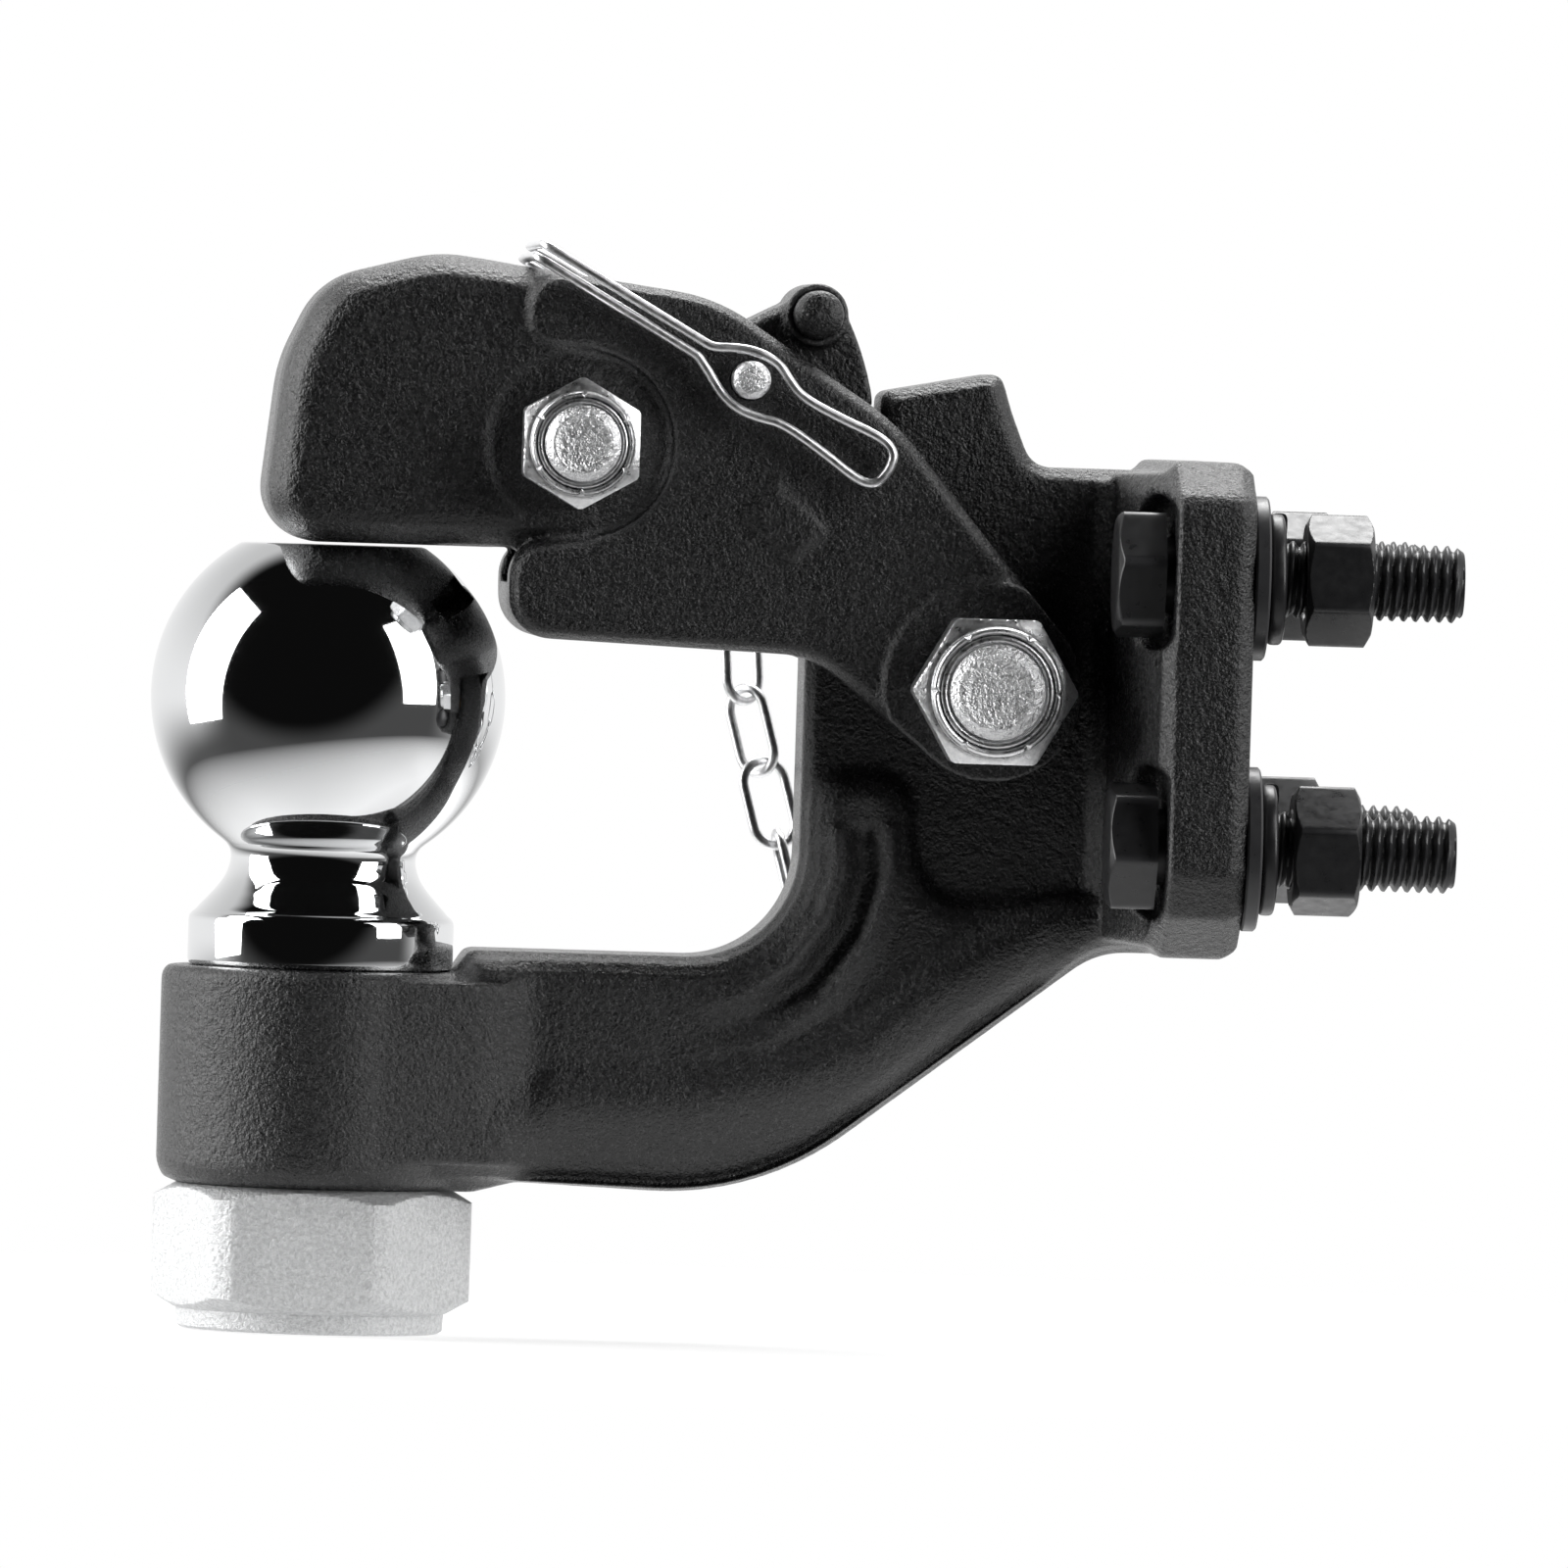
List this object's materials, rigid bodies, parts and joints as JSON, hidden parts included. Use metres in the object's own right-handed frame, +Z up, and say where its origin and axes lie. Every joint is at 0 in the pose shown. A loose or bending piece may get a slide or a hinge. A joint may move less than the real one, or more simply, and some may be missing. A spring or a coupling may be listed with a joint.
{
  "type": "pintle hook with hitch ball",
  "caption": "Bolt-on forged pintle hook with a hitch ball below a pivoting jaw, a lock pawl with a cross bar, a safety pin on a chain and a bolted rear flange.",
  "frame": {"origin": "centre of the four-bolt pattern on the flange's rear face", "axes": "+X back out of the flange toward the towing vehicle, +Y across the hook to the side the chain hangs on, +Z up along the ball's axis"},
  "size_m": [0.2138, 0.114, 0.1818],
  "materials": {
    "black_powder_coat": "fine textured black powder coat",
    "chrome_plate": "mirror chrome",
    "zinc_plate": "bright zinc plate",
    "matte_zinc": "matte grained zinc",
    "black_oxide": "smooth black oxide",
    "bronze": "plain bearing bronze",
    "nylon": "natural nylon",
    "spring_steel": "oiled spring steel"
  },
  "bodies": {
    "hook": {"hook_body": "black_powder_coat", "hitch_ball": "chrome_plate", "ball_nut": "matte_zinc", "ball_nut_insert": "nylon", "pivot_bush": "bronze", "chain_anchor_screw": "zinc_plate", "mounting_bolts": "black_oxide", "flat_washers": "black_oxide", "lock_washers": "black_oxide", "mounting_nuts": "black_oxide"},
    "jaw": {"jaw": "black_powder_coat", "jaw_pivot_bolt": "zinc_plate", "jaw_pivot_nut": "zinc_plate", "jaw_nut_insert": "nylon", "pawl_bolt": "zinc_plate", "pawl_nut": "zinc_plate", "pawl_nut_insert": "nylon"},
    "pawl": {"lock_pawl": "black_powder_coat", "lift_bar": "black_powder_coat", "pawl_spring": "spring_steel"},
    "pin": {"safety_pin": "zinc_plate", "wire_bail": "zinc_plate"},
    "chain_top": {"chain_ring": "zinc_plate", "chain_upper": "zinc_plate"},
    "chain_mid": {"chain_middle": "zinc_plate"},
    "chain_end": {"chain_lower": "zinc_plate", "anchor_ring": "zinc_plate"}
  },
  "joints": [
    {"name": "jaw_open", "type": "hinge", "parent": "hook", "child": "jaw", "pos_m": [-0.0409, 0, 0.0022], "axis": [0, 1, 0], "range_deg": [0, 40]},
    {"name": "pawl_lift", "type": "hinge", "parent": "jaw", "child": "pawl", "pos_m": [-0.11, 0, 0.0409], "axis": [0, -1, 0], "range_deg": [0, 52.5]},
    {"name": "bail_swing", "type": "hinge", "parent": "jaw", "child": "pin", "pos_m": [-0.0823, 0, 0.0522], "axis": [0, 1, 0], "range_deg": [0, 70]},
    {"name": "chain_top_swing", "type": "hinge", "parent": "jaw", "child": "chain_top", "pos_m": [-0.0823, 0, 0.0522], "axis": [0, 1, 0], "range_deg": [-2, 0.5]},
    {"name": "chain_mid_swing", "type": "hinge", "parent": "chain_top", "child": "chain_mid", "pos_m": [-0.0789, 0, -0.0004], "axis": [0, 1, 0], "range_deg": [-22.5, 0.5]},
    {"name": "chain_end_swing", "type": "hinge", "parent": "chain_mid", "child": "chain_end", "pos_m": [-0.06773, 0, -0.03586], "axis": [0, 1, 0], "range_deg": [-0.5, 32]}
  ],
  "couplings": [
    {"joint": "pawl_lift", "follows": "jaw_open", "ratio": 1.3},
    {"joint": "chain_top_swing", "follows": "jaw_open", "ratio": -0.0375},
    {"joint": "chain_mid_swing", "follows": "jaw_open", "ratio": -0.55},
    {"joint": "chain_end_swing", "follows": "jaw_open", "ratio": 0.7914}
  ]
}
